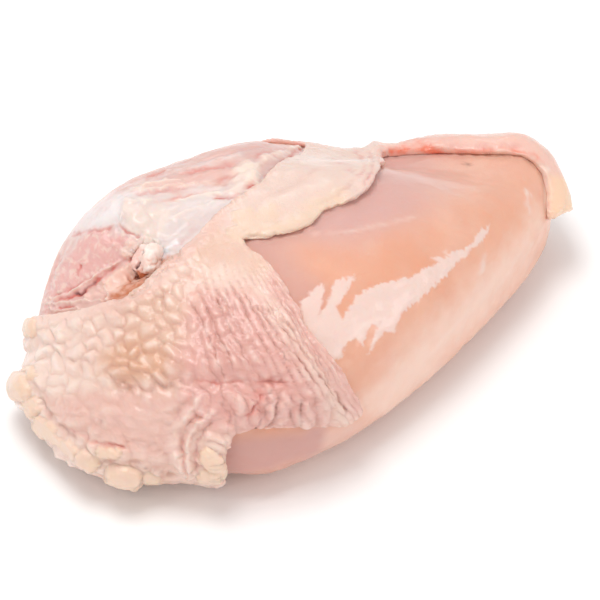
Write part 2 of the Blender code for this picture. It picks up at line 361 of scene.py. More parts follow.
def mottled(tree, coords, colours, size, detail):
    # two hex colours mixed by soft noise of a size in millimetres
    settings = {"Vector": coords, "Scale": 1 / (size * mm), "Detail": detail}
    cloud = addNode(tree, "ShaderNodeTexNoise", {}, settings)
    spread = addNode(tree, "ShaderNodeMapRange", {}, {0: cloud.outputs["Fac"], 1: 0.35, 2: 0.65})
    first, second = [linear(c) for c in colours]
    colours = {0: spread.outputs[0], 6: first, 7: second}
    return addNode(tree, "ShaderNodeMix", {"data_type": "RGBA"}, colours).outputs[2]


def layered(tree, colour, layers):
    # paints hex colours over a colour, each where its attribute says
    for attribute, hexColour in layers:
        mask = addNode(tree, "ShaderNodeAttribute", {"attribute_name": attribute})
        mix = addNode(tree, "ShaderNodeMix", {"data_type": "RGBA"},
                      {0: mask.outputs["Fac"], 6: colour, 7: linear(hexColour)})
        colour = mix.outputs[2]
    return colour


def bumps(tree, coords, layers):
    # fine relief: size and height in millimetres of each noise, added up
    normal = None
    for size, height, detail in layers:
        settings = {"Vector": coords, "Scale": 1 / (size * mm), "Detail": detail}
        grain = addNode(tree, "ShaderNodeTexNoise", {}, settings)
        inputs = {"Height": grain.outputs["Fac"], "Distance": height * mm, "Strength": 1.0}
        if normal:
            inputs["Normal"] = normal
        normal = addNode(tree, "ShaderNodeBump", {}, inputs).outputs["Normal"]
    return normal


def tissueMaterial(name, shaderInputs, ground, layers, grain):
    # mottled ground colour, the tints painted over it, and fine relief
    material, tree, shader = newMaterial(name, shaderInputs)
    coords = addNode(tree, "ShaderNodeTexCoord").outputs["Object"]
    colour = layered(tree, mottled(tree, coords, *ground), layers)
    tree.links.new(colour, shader.inputs["Base Color"])
    tree.links.new(bumps(tree, coords, grain), shader.inputs["Normal"])
    return material


# Bare muscle

meatValues = {
    "skinReach": 14,  # mm above the muscle within which skin covers it
    "fullFacing": 0.12,  # facing from which the pictured strokes are at full height
    "fineStrokes": (0.7, 5),  # half width in mm of strokes with finer faces, and pixels around them
    "filmMargin": 7,  # pixels around the film's outline with finer faces
    "foot": (0.5, 5),  # mm above the table between which the relief fades in
    "raggedness": 5,  # pixels by which the drawn outlines waver
    "frontStart": 236,  # column of the picture where the front muscle starts
    "mauveFade": (500, 380),  # columns between which its mauve fades
    "fibreSpacing": 2.4,  # mm between the muscle's fibre bundles
    "fibreHeight": 0.1,  # heights in mm
    "cutRoughness": 0.28,  # rough cut face of the wing end
    "filmHeight": 0.1,  # wet membrane along the front
    "lumpHeight": 0.35,
    "coveredHeight": 0.45,  # under the skin, so that no gap shows below its edge
}
# outlines and lines in the picture, in pixels
cutFace = (
    (40, 320), (44, 292), (60, 255), (84, 232), (104, 226), (120, 228), (138, 236), (150, 246),
    (140, 262), (124, 262), (100, 279), (82, 290),
)
bloodZone = (
    (102, 306), (108, 294), (120, 286), (134, 278), (146, 272), (158, 266), (176, 258), (180, 276),
    (160, 294), (124, 310),
)
ovalMuscle = (
    (100, 292), (104, 280), (118, 270), (130, 263), (140, 268), (146, 278), (136, 286), (116, 296),
)
membraneArea = (
    (60, 262), (70, 244), (92, 214), (118, 196), (150, 190), (200, 188), (236, 186), (262, 176),
    (296, 152), (306, 146), (300, 168), (262, 200), (232, 222), (205, 240), (185, 256), (168, 266),
    (150, 252), (128, 236), (104, 228), (84, 236),
)
milkyArea = (
    (60, 240), (78, 214), (100, 196), (128, 186), (142, 194), (124, 204), (118, 222), (96, 230),
    (76, 236),
)
wingEnd = (
    (34, 318), (40, 270), (70, 226), (116, 196), (160, 200), (180, 236), (176, 272), (150, 290),
    (100, 312),
)
ribSide = (
    (30, 330), (30, 220), (120, 150), (200, 120), (310, 120), (310, 150), (262, 200), (206, 240),
    (160, 275), (90, 315),
)
creamLump = (
    (122, 206), (140, 204), (166, 206), (168, 222), (156, 240), (146, 246), (134, 234), (124, 222),
)
ribStrip = (
    (110, 200), (140, 172), (170, 160), (210, 150), (250, 138), (290, 138), (310, 146), (290, 152),
    (262, 158), (240, 172), (214, 178), (180, 182), (150, 186), (128, 192),
)
filmAndHighlightPatch = (
    (299, 306), (303, 300), (307, 296), (314, 289), (322, 283), (325, 290), (322, 303), (320, 317),
    (326, 306), (330, 296), (332, 288), (334, 279), (345, 279), (355, 275), (350, 285), (344, 299),
    (336, 307), (342, 319), (346, 312), (350, 305), (356, 296), (372, 287), (380, 284), (393, 281),
    (412, 277), (422, 268), (439, 263), (430, 257), (449, 257), (443, 252), (464, 250), (472, 243),
    (478, 234), (490, 223), (487, 234), (480, 243), (471, 251), (458, 262), (447, 275), (430, 290),
    (420, 300), (403, 311), (401, 317), (393, 332), (384, 333), (372, 350), (367, 355), (374, 338),
    (377, 327), (370, 324), (366, 338), (363, 346), (357, 340), (347, 342), (342, 357), (332, 362),
    (322, 348), (309, 330), (304, 322), (301, 311),
)
mauveEdge = ((245, 245), (345, 240), (430, 215), (545, 170))  # orange muscle lies below it
tipSide = (
    (395, 420), (440, 372), (490, 318), (530, 262), (552, 214), (552, 180), (530, 210), (514, 232),
    (496, 256), (462, 290), (420, 330), (380, 372), (352, 400), (362, 424),
)
lowCorner = ((310, 426), (330, 428), (366, 420), (356, 436), (322, 456), (306, 460))
lowMuscle = (
    (200, 440), (250, 434), (300, 430), (326, 424), (320, 452), (296, 466), (240, 482), (196, 486),
)
skinShadow = ((262, 250), (290, 285), (306, 300))
# strokes: rise and half width in mm, tint, its strength, points in the picture
meatStrokes = (
    # slit between the cut face and the second muscle, dark red painted shade in its core, with pale strands
    # along it
    (-0.4, 0.28, "gapShade", 0.7, ((74, 294), (84, 291), (92, 285), (98, 280))),
    (-0.5, 0.5, "red", 1, ((54, 302), (66, 298), (84, 292), (98, 281), (110, 271), (121, 263))),
    (0.9, 0.4, "filmAndHighlight", 1, ((44, 299), (60, 297), (76, 290), (92, 279), (108, 268), (124, 260))),
    (-0.4, 0.3, "red", 0.6, ((50, 296), (66, 291), (82, 283), (98, 273))),
    (0.7, 0.4, "filmAndHighlight", 1, ((40, 303), (56, 303), (74, 303), (92, 302), (106, 300))),
    (-0.6, 0.4, "red", 0.9, ((58, 308), (66, 307), (76, 307))),
    (0.6, 0.4, "filmAndHighlight", 0.9, ((44, 308), (60, 311), (84, 308))),
    (1.5, 1.5, "oval", 1, ((104, 290), (112, 281), (122, 272), (131, 266))),
    (0.8, 1.2, "oval", 0.6, ((82, 298), (92, 296), (102, 292))),
    (0.6, 0.35, "filmAndHighlight", 0.9, ((103, 288), (107, 292), (108, 298), (105, 303))),
    (-0.7, 0.9, "blood", 1, ((112, 298), (124, 293), (136, 285), (148, 278), (156, 274))),
    (-1.0, 0.8, "blood", 0.9, ((126, 280), (138, 275), (150, 273))),
    (-0.8, 0.8, "gapShade", 0.5, ((144, 279), (150, 277), (156, 274))),
    # gaps beside the cartilage, with dark painted shade in them
    (-0.3, 0.4, "gapShade", 0.6, ((133, 270), (137, 266), (140, 261))),
    (-0.2, 0.4, "blood", 0.5, ((140, 257), (143, 252), (145, 247))),
    (-0.2, 0.4, "red", 0.4, ((128, 262), (134, 256), (138, 250))),
    # cut face
    (-0.6, 0.7, "red", 0.8, ((77, 275), (79, 268), (81, 264))),
    (-0.7, 0.6, "red", 0.6, ((70, 238), (78, 233), (92, 231), (104, 230), (116, 225))),
    (-0.4, 0.4, "red", 0.6, ((120, 222), (124, 230), (134, 236), (142, 239))),
    (-0.5, 0.8, "red", 0.35, ((46, 292), (52, 272), (62, 252))),
    (0.5, 0.8, "veil", 0.5, ((52, 290), (58, 270), (70, 250))),
    (0.5, 0.7, "cream", 0.5, ((124, 240), (132, 246), (138, 252))),
    (0.5, 0.6, "cream", 0.4, ((110, 244), (124, 250), (134, 258))),
    # membranes and strips of the rib side
    (0.5, 0.7, "veil", 0.7, ((74, 233), (95, 231), (110, 227), (120, 222), (124, 208))),
    (0.5, 0.8, "cream", 0.6, ((119, 204), (140, 202), (160, 202), (180, 199), (210, 193), (236, 186))),
    (0.4, 0.6, "cream", 0.5, ((118, 196), (140, 190), (170, 186), (200, 184), (226, 184))),
    (0.4, 0.5, "cream", 0.5, ((128, 190), (150, 184), (186, 180))),
    (-0.5, 0.5, "red", 0.5, ((150, 203), (168, 200), (188, 196), (206, 192))),
    (-0.3, 0.5, "red", 0.35, ((134, 196), (160, 191), (190, 188))),
    (-0.3, 0.5, "veil", 0.5, ((100, 214), (120, 196), (140, 186))),
    (-0.8, 0.5, "red", 0.9, ((212, 198), (224, 198), (238, 196), (248, 191), (257, 185), (263, 179))),
    (-0.6, 0.5, "red", 0.7, ((263, 179), (270, 172), (282, 162), (293, 154), (305, 148))),
    (0.6, 0.8, "cream", 0.7, ((212, 194), (226, 193), (240, 190), (250, 184))),
    (-0.5, 0.6, "blood", 0.5, ((214, 184), (222, 185), (229, 186))),
    (0.6, 1.3, "cream", 0.6, ((254, 166), (268, 158), (284, 152), (304, 146))),
    (-0.3, 0.5, "red", 0.4, ((252, 158), (270, 152), (290, 147))),
    (-0.4, 0.7, "red", 0.45, ((144, 178), (156, 174), (166, 170))),
    (-0.35, 0.6, "red", 0.45, ((175, 176), (200, 170), (222, 166), (238, 164))),
    (-0.3, 0.6, "red", 0.4, ((216, 182), (226, 178), (238, 176))),
    (-0.3, 0.6, "mauve", 0.6, ((190, 166), (214, 158), (244, 150), (276, 146))),
    (0.3, 1.0, "veil", 0.5, ((170, 172), (196, 166), (226, 158), (250, 154))),
    # folds of the membrane towards the crest
    (0.35, 0.6, "cream", 0.5, ((168, 222), (184, 214), (200, 208), (216, 202))),
    (-0.3, 0.5, "veil", 0.6, ((160, 244), (176, 236), (192, 222), (206, 212))),
    (0.3, 0.6, "cream", 0.4, ((150, 216), (164, 212), (184, 206))),
    (0.4, 0.8, "milk", 0.8, ((160, 262), (166, 254), (172, 248), (180, 240))),
    (-0.25, 0.5, "red", 0.2, ((172, 250), (186, 238), (200, 226))),
    # front muscle: highlight streaks painted in the film colour, and a spot of painted shade under the roll
    (0.14, 0.6, "filmAndHighlight", 0.35, ((300, 233), (326, 233), (345, 231), (372, 227), (400, 221), (424, 214))),
    (-0.12, 0.5, "mauve", 0.5, ((296, 236), (345, 235), (400, 226))),
    (-0.06, 0.8, "mauve", 0.5, ((380, 190), (430, 186), (480, 184))),
    (-0.06, 0.8, "filmAndHighlight", 0.2, ((392, 168), (420, 172), (450, 172))),
    (-0.12, 0.3, "orange", 0.9, ((382, 283), (382, 300), (381, 320))),
    (-0.12, 0.3, "orange", 0.9, ((385, 282), (385, 296), (383, 310))),
    (0.1, 0.5, "filmAndHighlight", 0.8, ((524, 187), (527, 194), (528, 204), (530, 215))),
    (0.1, 0.4, "filmAndHighlight", 0.7, ((527, 196), (531, 193))),
    (0.1, 0.7, "filmAndHighlight", 0.7, ((484, 252), (483, 262), (480, 276))),
    (-0.15, 0.4, "gapShade", 0.4, ((461, 162), (466, 164), (472, 164))),
    (-0.1, 1.0, "mauve", 0.7, ((388, 178), (394, 177), (400, 174))),
    (-0.05, 0.7, "red", 0.3, ((302, 230), (310, 230), (316, 231))),
)
# swells that stand on the muscle: rise, radius in mm, tint, strength, place in the picture
meatLumps = (
    (1.4, 4.0, "cream", 0.9, (247, 174)),
    (1.0, 2.6, "cream", 0.9, (252, 184)),
    (0.8, 3.0, "cream", 0.6, (238, 190)),
    (0.9, 3.2, "cream", 0.45, (131, 212)),
    (0.9, 2.8, "cream", 0.45, (141, 220)),
    (0.7, 2.4, "cream", 0.45, (134, 229)),
    (0.8, 2.6, "cream", 0.45, (148, 228)),
    (0.8, 2.4, "cream", 0.7, (146, 240)),
    (0.7, 2.2, "cream", 0.7, (156, 244)),
    (0.8, 2.2, "cream", 0.5, (136, 246)),
    (0.8, 2.0, "cream", 0.6, (128, 252)),
    (0.7, 5.0, None, 0, (192, 212)),
    (0.6, 3.0, "veil", 0.6, (168, 250)),
    (0.6, 2.4, "veil", 0.6, (168, 262)),
)


def makeMeat(skinTree):
    obj = copyOfNode("breast_meat", "bareMuscle")
    roundOff(obj, 1)
    skinReach = meatValues["skinReach"] * mm

    def bareFaces(centres, facing):
        covered = coveredBy(skinTree, centres, facing, skinReach)
        return (covered == 0) & (centres[:, 2] > 2 * mm)

    def detailedFaces(centres, facing):
        pixels = pictured(centres)
        wanted = np.abs(insideOutline(pixels, filmAndHighlightPatch)) < meatValues["filmMargin"]
        wanted |= insideOutline(pixels, ribSide) > 0
        return bareFaces(centres, facing) & (facingView(centres, facing) > -0.05) & wanted

    def cutFaces(centres, facing):
        pixels = pictured(centres)
        near = nearThinLines(pixels, meatStrokes, *meatValues["fineStrokes"])
        return detailedFaces(centres, facing) & near & (insideOutline(pixels, wingEnd) > 0)

    makeFiner(obj, (bareFaces, detailedFaces, cutFaces))
    points, normals = surfaceOf(obj.data)
    seen = smoothStep(0.0, meatValues["fullFacing"], facingView(points, normals))
    free = 1 - coveredBy(skinTree, points, normals, skinReach)
    points = nudge(points)
    clear = smoothStep(*meatValues["foot"], points[:, 2] / mm)
    pixels = pictured(points)
    ragged = shaken(points, pixels, 5, 3, 1, meatValues["raggedness"])

    # wing end and rib side
    cut = within(ragged, cutFace, -5, 5) * seen
    blood = within(ragged, bloodZone, -4, 4) * seen
    strip = within(ragged, ribStrip, -5, 6) * seen
    wingSide = within(pixels, ribSide, -10, 10) * seen
    speckle = smoothStep(0.0, 0.45, noiseAt(points, 1.8, 3, 10))
    tints = {
        "cut": cut,
        "veil": within(ragged, membraneArea, -6, 8) * seen * (1 - 0.4 * strip),
        "strip": np.maximum(wingSide * 0.8, strip * (0.8 + 0.4 * noiseAt(points, 5, 3, 9))),
        "oval": within(pixels, ovalMuscle, -3, 3) * seen,
        "blood": blood * (0.6 + 0.4 * smoothStep(-0.2, 0.5, noiseAt(points, 2, 2, 5))),
        "cream": np.maximum(within(ragged, creamLump, -5, 6) * seen * 0.5, cut * speckle * 0.5),
        "milk": within(ragged, milkyArea, -5, 8) * seen * 0.55,
        "red": np.zeros(len(points)),
        "gapShade": np.zeros(len(points)),
    }

    # front muscle: mauve at the top, orange in the middle; painted light makes the lower right and the low
    # corner paler, as if lit from the table, and painted shade darkens it along the skin's edge and at the
    # bottom
    below = smoothStep(-20, 30, pixels[:, 1] - np.interp(pixels[:, 0], *zip(*mauveEdge)))
    front = (pixels[:, 0] > meatValues["frontStart"]) * seen
    corner = within(pixels, lowCorner, -10, 10) * seen
    tints["mauve"] = (1 - below) * front * smoothStep(*meatValues["mauveFade"], pixels[:, 0])
    tints["orange"] = below * front * (0.6 + 0.5 * noiseAt(points, 16, 2, 8))
    # painted light: paler at the lower right and the low corner
    tints["pale"] = np.maximum(within(ragged, tipSide, -18, 26) * seen * 0.85, corner * 0.7)
    tints["shade"] = corner * 0.4 + nearLine(pixels, skinShadow, 40, 5) * seen * 0.7
    tints["shade"] += within(pixels, lowMuscle, -8, 12) * seen

    # wet film with a painted highlight: its paler colour stands for a softbox's reflection, with the
    # fibres' ragged edge
    teeth = noiseAt(points * (1, 1, 0.25), 1.6, 2, 3) * 3
    filmAndHighlight = within(pixels + np.stack((teeth * 0.5, teeth), 1), filmAndHighlightPatch, -1.2, 1.6) * seen
    tints["filmAndHighlight"] = filmAndHighlight

    height = raiseStrokes(meatStrokes, points, pixels, seen, tints)
    for rise, radius, tint, strength, place in meatLumps:
        away = np.hypot(*(ragged - place).T) / (radius * pixelsPerMm)
        bell = np.exp(-away**4) * seen
        height += rise * mm * bell
        if tint:
            tints[tint] = np.maximum(tints[tint], bell * strength)
    fibres = noiseAt(points * (0.18, 1, 1), meatValues["fibreSpacing"], 2, 4)
    height += fibres * meatValues["fibreHeight"] * mm
    height += noiseAt(points, 9, 3, 6) * meatValues["lumpHeight"] * mm
    height += noiseAt(points, 1.6, 4, 7) * meatValues["cutRoughness"] * mm * np.maximum(cut, blood)
    height += filmAndHighlight * meatValues["filmHeight"] * mm
    height = height * free + meatValues["coveredHeight"] * mm * (1 - free)
    return finishPiece(obj, points + normals * (height * clear)[:, None], tints)


def muscleMaterial():
    # raw breast muscle, wet: light sinks in and spreads, and the moist film gives sharp reflections; its
    # paler colour along the front is a painted highlight
    return tissueMaterial("wetRawMuscle", {
        "Roughness": 0.34, "IOR": 1.4, "Subsurface Weight": 0.35, "Subsurface Radius": (1.0, 0.45, 0.3),
        "Subsurface Scale": 0.004, "Coat Weight": 0.35, "Coat Roughness": 0.12, "Coat IOR": 1.35,
    }, (("E6AE98", "EDBBA4"), 14, 3), (
        # the paler colour is painted light, and the shade colour painted shade
        ("mauve", "D9AAA1"), ("orange", "E6A587"), ("pale", "F6D5C5"), ("shade", "D2A096"),
        ("strip", "DBB4AC"), ("cut", "E7B5AE"), ("oval", "F2CDBE"), ("veil", "E1CFCA"),
        ("cream", "F2DECF"), ("milk", "F1ECEC"), ("red", "D8786D"), ("blood", "C77852"),
        # the dark red is painted shade in slits and gaps; the film colour is pale membrane and a painted
        # highlight
        ("gapShade", "5A2024"), ("filmAndHighlight", "EDCFC4"),
    ), ((2.2, 0.1, 3), (0.7, 0.05, 2)))  # mm: bundles of fibres, and single ones drawn coarser


# Skin

skinValues = {
    "rowSpacing": (15, 11, 5),  # pixels between rows of goose flesh: left, middle, front edge
    "rowFoot": (190, 240, 315),  # columns of the picture where those rows cross its row 330
    "rowBase": 330,
    "rowSlant": (0.177, 0.00277),
    "cellLength": 15,
    "domeHeight": (0.95, 0.9, 0.36),  # mm, for the same rows
    "pillowFullness": 1.3,
    "fineStrokes": (0.46, 2.2),  # half width in mm of strokes with finer faces, and pixels around them
    "raggedness": 6,  # pixels by which the drawn outlines waver
    "smoothFrom": 420,  # column of the picture right of which the skin is smooth
    "foot": (1.2, 4),  # mm above the table between which the relief fades in
    "edgeThickness": (0.6, 1.4),  # mm over the muscle between which the relief fades in
    "hiddenSpacing": 4.4,  # mm, on the sides that the picture doesn't show
    "hiddenHeight": 0.5,
    "knobSpacing": 1.9,  # mm, fat along the edge of the folded flap
    "knobHeight": 0.5,
    "innerRipple": 0.25,
    "broadRipple": 0.35,
    "fineRipple": 0.09,
    "crinkles": (0.04, 0.16, 0.08),  # mm: all over, more in the wrinkled part, more on the low part
    "edgeRaggedness": 1.0,
    "slides": (  # where the sheet lies lower, its reach in pixels, and how far in mm
        (((122, 292), (136, 284), (150, 274)), 11, 2.4),
        (((290, 229), (306, 224)), 11, 1.6),
        (((357, 194), (366, 187)), 9, 1.7),
    ),
}
fineZone = (
    (236, 246), (262, 268), (290, 300), (318, 345), (345, 392), (364, 424), (236, 440), (196, 400),
    (186, 350), (196, 300), (214, 268),
)
crestLine = (
    (30, 315), (68, 312), (93, 308), (110, 302), (133, 295), (150, 284), (165, 269), (179, 256),
    (191, 243), (204, 231), (217, 220),
)
fineBand = (
    (252, 256), (270, 270), (290, 298), (318, 343), (345, 389), (366, 424), (346, 424), (330, 392),
    (300, 345), (270, 302), (250, 280),
)
smoothZone = (
    (217, 221), (238, 243), (262, 262), (268, 276), (250, 276), (228, 262), (204, 262), (196, 250),
)
flapEdge = ((250, 239), (268, 237), (289, 231), (304, 226), (320, 214), (338, 205))
lowSkin = (
    (44, 396), (100, 390), (150, 392), (178, 390), (190, 420), (200, 440), (176, 470), (150, 462),
    (96, 440), (56, 424),
)
innerFlap = (
    (217, 221), (240, 197), (262, 180), (296, 150), (320, 140), (384, 130), (392, 160), (386, 190),
    (352, 212), (326, 222), (308, 240), (262, 246), (238, 243),
)
redZone = (
    (196, 290), (250, 290), (320, 380), (330, 425), (240, 436), (180, 420), (178, 360), (186, 320),
)
tanZone = (
    (134, 300), (160, 292), (186, 300), (200, 340), (204, 376), (170, 384), (130, 384), (112, 372),
    (120, 330),
)
yellowZone = ((104, 352), (136, 340), (168, 350), (170, 372), (128, 384), (106, 372))
rollZone = (
    (376, 120), (480, 100), (600, 100), (600, 240), (548, 230), (553, 190), (548, 168), (530, 154),
    (496, 150), (464, 155), (430, 154), (404, 157), (382, 158),
)
rollTip = ((550, 176), (580, 176), (584, 224), (549, 228))
farZone = ((240, 120), (306, 120), (303, 150), (240, 152))
farRoll = ((240, 120), (310, 120), (304, 150), (280, 152), (240, 152))
duskLine = ((214, 320), (232, 350))
frontLine = ((280, 285), (290, 299), (317, 342), (357, 405))
# lobes of fat along the lower left edge and on the folded flap:
# rise in mm, radius in pixels, line in the picture
fatLobes = (
    (2.4, 11, ((19, 385), (22, 391))), (1.8, 8, ((32, 403), (35, 409))), (2.0, 8, ((42, 424), (50, 431))),
    (2.2, 8, ((68, 447), (76, 452))), (2.2, 8, ((87, 458), (93, 462))),
    (2.6, 10, ((114, 472), (132, 478))), (1.2, 8, ((30, 326), (30, 330))),
    (2.0, 10, ((208, 457), (215, 463))), (1.6, 6, ((202, 475), (214, 476))),
    (1.2, 6, ((221, 468), (222, 471))), (1.4, 6, ((102, 452), (116, 453))),
    (1.2, 6, ((56, 438), (58, 440))), (1.2, 6, ((30, 372), (32, 376))),
    (1.0, 6, ((148, 478), (156, 480))),
)
flapLobes = (
    (0.6, 7, ((234, 234), (240, 238))), (0.7, 8, ((246, 226), (256, 230))),
    (0.6, 7, ((266, 231), (276, 229))), (0.5, 6, ((284, 228), (292, 226))),
    (0.5, 7, ((238, 218), (248, 214))), (0.5, 5, ((298, 224), (304, 220))),
    (0.5, 4, ((312, 218), (318, 216))), (0.5, 4, ((324, 211), (328, 209))),
    (0.4, 4, ((296, 231), (299, 230))), (0.4, 7, ((260, 216), (272, 210))),
)
skinStrokes = (
    # wide swells and hollows of the hanging skin
    (-1.6, 2.2, None, 0, ((122, 294), (140, 284), (154, 274), (168, 262), (182, 248))),
    (-1.1, 1.6, None, 0, ((170, 478), (176, 470), (186, 478))),
    (-1.0, 2.6, None, 0, ((92, 384), (130, 388), (180, 384), (240, 384), (300, 386))),
    (0.9, 3.0, None, 0, ((100, 366), (140, 368), (180, 364), (230, 366), (290, 366))),
    (0.7, 3.0, None, 0, ((60, 410), (100, 414), (150, 416))),
    (-0.8, 2.0, None, 0, ((70, 432), (100, 438), (136, 446), (168, 452))),
    # creases across, with painted shade in them
    (-0.4, 0.7, "valley", 0.6, ((110, 384), (134, 387), (150, 388), (166, 386), (182, 383))),
    (-0.35, 0.5, "red", 0.5, ((190, 380), (216, 382), (244, 381), (270, 381), (298, 384))),
    (-0.9, 0.6, "red", 0.7, ((90, 441), (100, 444), (112, 445), (126, 449))),
    (-0.4, 0.8, "rosy", 0.7, ((60, 424), (76, 432), (92, 440))),
    (-0.7, 0.8, "crease", 0.5, ((96, 456), (112, 460), (134, 462), (150, 470))),
    (-0.7, 0.8, "crease", 0.5, ((30, 376), (38, 394), (50, 414), (64, 430), (84, 444), (98, 456))),
    (-0.5, 0.6, "rosy", 0.5, ((66, 318), (64, 326), (64, 338))),
    (-0.4, 0.6, "rosy", 0.6, ((36, 314), (42, 320), (46, 324))),
    (-0.4, 0.5, "crease", 0.4, ((104, 366), (108, 378), (122, 386))),
    # long wrinkles, with painted shade along their furrows
    (-0.36, 0.34, "crease", 0.63, ((188, 298), (196, 310), (204, 326), (212, 346), (222, 372), (226, 384))),
    (-0.42, 0.34, "crease", 0.7, ((200, 292), (211, 318), (222, 342), (236, 376))),
    (-0.42, 0.34, "crease", 0.7, ((213, 290), (229, 326), (244, 354), (254, 380))),
    (-0.36, 0.3, "crease", 0.63, ((229, 284), (240, 300), (255, 332), (267, 350), (273, 369))),
    (-0.36, 0.3, "crease", 0.63, ((240, 290), (257, 315), (273, 342), (292, 365))),
    (-0.3, 0.3, "crease", 0.63, ((252, 298), (265, 319), (282, 342), (298, 357), (311, 376), (320, 392))),
    (-0.3, 0.26, "crease", 0.56, ((262, 298), (276, 321), (299, 346), (315, 369), (326, 384), (338, 404))),
    (-0.24, 0.26, "crease", 0.49, ((222, 296), (234, 318), (248, 340), (262, 366))),
    (-0.24, 0.26, "crease", 0.49, ((268, 300), (284, 322), (304, 346), (322, 372), (334, 392))),
    (-0.24, 0.26, "crease", 0.42, ((270, 286), (284, 306), (300, 330), (318, 358), (334, 386))),
    (-0.24, 0.26, "crease", 0.42, ((206, 306), (214, 330), (226, 356))),
    # folds above the nugget of fat, their ridges painted paler as highlights
    (-0.5, 0.8, "rosy", 0.7, ((186, 388), (183, 400), (180, 412), (172, 424))),
    (1.2, 1.3, "pale", 0.6, (
        (204, 392), (194, 406), (184, 418), (177, 431), (174, 449), (180, 466), (187, 482),
    )),
    (-0.35, 0.4, "rosy", 0.75, ((202, 412), (190, 422), (184, 434), (182, 448), (185, 464), (189, 480))),
    (1.2, 0.9, "pale", 0.6, ((220, 404), (207, 416), (194, 427), (188, 444), (190, 464), (192, 482))),
    (-0.6, 0.5, "rosy", 0.8, ((216, 420), (204, 430), (197, 444), (196, 458), (198, 474))),
    (0.9, 2.2, "pale", 0.4, ((204, 442), (216, 440), (228, 446))),
    (0.8, 2.5, None, 0, ((164, 412), (160, 430), (164, 456))),
    # pleats at the lower edge, painted shade in their folds and painted highlights on their ridges
    (-0.9, 0.6, "red", 0.8, ((263, 392), (259, 402), (252, 412), (247, 418))),
    (-0.6, 0.5, "rosy", 0.9, ((250, 396), (256, 406), (262, 418), (256, 432))),
    (-0.7, 0.5, "crease", 0.36, ((272, 386), (267, 400), (265, 420))),
    (-0.7, 0.5, "crease", 0.36, ((284, 386), (278, 402), (274, 420), (262, 430))),
    (-0.6, 0.5, "crease", 0.3, ((294, 392), (290, 410), (288, 425))),
    (-0.6, 0.5, "crease", 0.3, ((300, 396), (301, 410), (300, 430))),
    (-0.4, 0.5, "crease", 0.3, ((312, 396), (317, 412), (316, 430))),
    (-0.4, 0.5, "crease", 0.3, ((324, 392), (331, 410), (330, 427))),
    (-0.5, 0.5, "crease", 0.4, ((334, 390), (342, 404), (346, 416))),
    (0.9, 1.2, "pale", 0.35, ((284, 398), (282, 412), (280, 426))),
    (0.9, 1.0, "pale", 0.3, ((306, 400), (308, 414), (308, 427))),
    (0.8, 1.0, "pale", 0.3, ((320, 400), (324, 414), (324, 427))),
    (0.7, 1.0, "pale", 0.3, ((272, 394), (271, 408), (269, 420))),
    (-0.4, 2.0, "red", 0.3, ((254, 388), (262, 400), (256, 414))),
    (-0.5, 0.6, "rosy", 0.6, ((226, 390), (224, 404), (230, 418), (226, 434))),
    (0.8, 1.4, "pale", 0.3, ((240, 392), (240, 410), (240, 430))),
    (-0.2, 1.4, "red", 0.35, ((236, 384), (262, 382), (290, 386))),
    # front edge, with a faint painted highlight along its ridge
    (0.35, 0.9, "pale", 0.15, ((262, 262), (280, 284), (300, 312), (320, 348), (340, 384), (356, 412))),
    (-0.25, 0.5, "rosy", 0.6, ((262, 270), (276, 286), (296, 316), (314, 348), (334, 384))),
    # roll along the top right, and the red groove under it
    (-0.5, 1.3, "groove", 1, ((386, 152), (398, 151), (410, 148), (420, 147), (430, 150), (446, 153))),
    (-0.2, 0.9, "groove", 0.6, ((446, 151), (470, 152), (496, 149), (520, 151), (536, 157), (546, 166))),
    (-0.2, 1.2, "rosy", 0.8, ((388, 152), (393, 151), (400, 150))),
    (-0.3, 1.3, "rosy", 0.5, ((440, 147), (470, 148), (500, 146), (530, 149))),
    (0.5, 1.6, "rosy", 0.25, ((396, 143), (430, 140), (460, 142))),
    # rim of the folded inner side, with painted highlight and painted shade along its folds
    (0.6, 1.3, "rosy", 0.35, ((378, 144), (380, 158), (379, 172), (374, 184), (362, 197))),
    (-0.4, 0.6, "rosy", 0.7, ((366, 150), (372, 160), (371, 174), (362, 186))),
    (-0.25, 0.5, "rosy", 0.7, ((352, 150), (362, 158), (364, 170), (356, 180))),
    (-0.2, 0.5, "rosy", 0.5, ((330, 160), (346, 164), (354, 174))),
    (-0.2, 0.5, "crease", 0.3, ((316, 206), (332, 198), (346, 188), (356, 176))),
    (0.3, 1.0, "pale", 0.4, ((262, 208), (286, 196), (310, 186), (336, 180))),
    (-0.2, 0.6, "crease", 0.25, ((250, 208), (276, 194), (300, 180), (318, 166))),
)


def rowsOf(pixels):
    # rows of goose flesh: upright at the left, slanting with the front edge at the right
    down = pixels[:, 1] - skinValues["rowBase"]
    slant, spread = skinValues["rowSlant"]
    foot = (pixels[:, 0] + slant * down) / (1 + spread * down)
    knots = np.arange(-200, 800, 5)
    spacing = np.interp(knots, skinValues["rowFoot"], skinValues["rowSpacing"])
    row = np.interp(foot, knots, np.cumsum(5 / spacing))
    height = np.interp(foot, skinValues["rowFoot"], skinValues["domeHeight"])
    return row, down / skinValues["cellLength"], height


def raiseLobes(lobes, pixels, seen):
    # rounded lobes that overlap, how much of each place they cover, and the gaps around them
    height, cover, gap = (np.zeros(len(pixels)) for _ in range(3))
    for rise, radius, line in lobes:
        away = (lineDistance(pixels, line)[0] / radius) ** 2
        dome = np.sqrt(np.clip(1 - away, 0, 1)) * rise * mm
        height = np.maximum(height, dome)
        cover = np.maximum(cover, smoothStep(1.2, 0.9, away))
        gap = np.where(away < 1, np.maximum(gap, smoothStep(0.75, 0.97, away)) * (dome >= height), gap)
    return height * seen, cover * seen, gap * seen


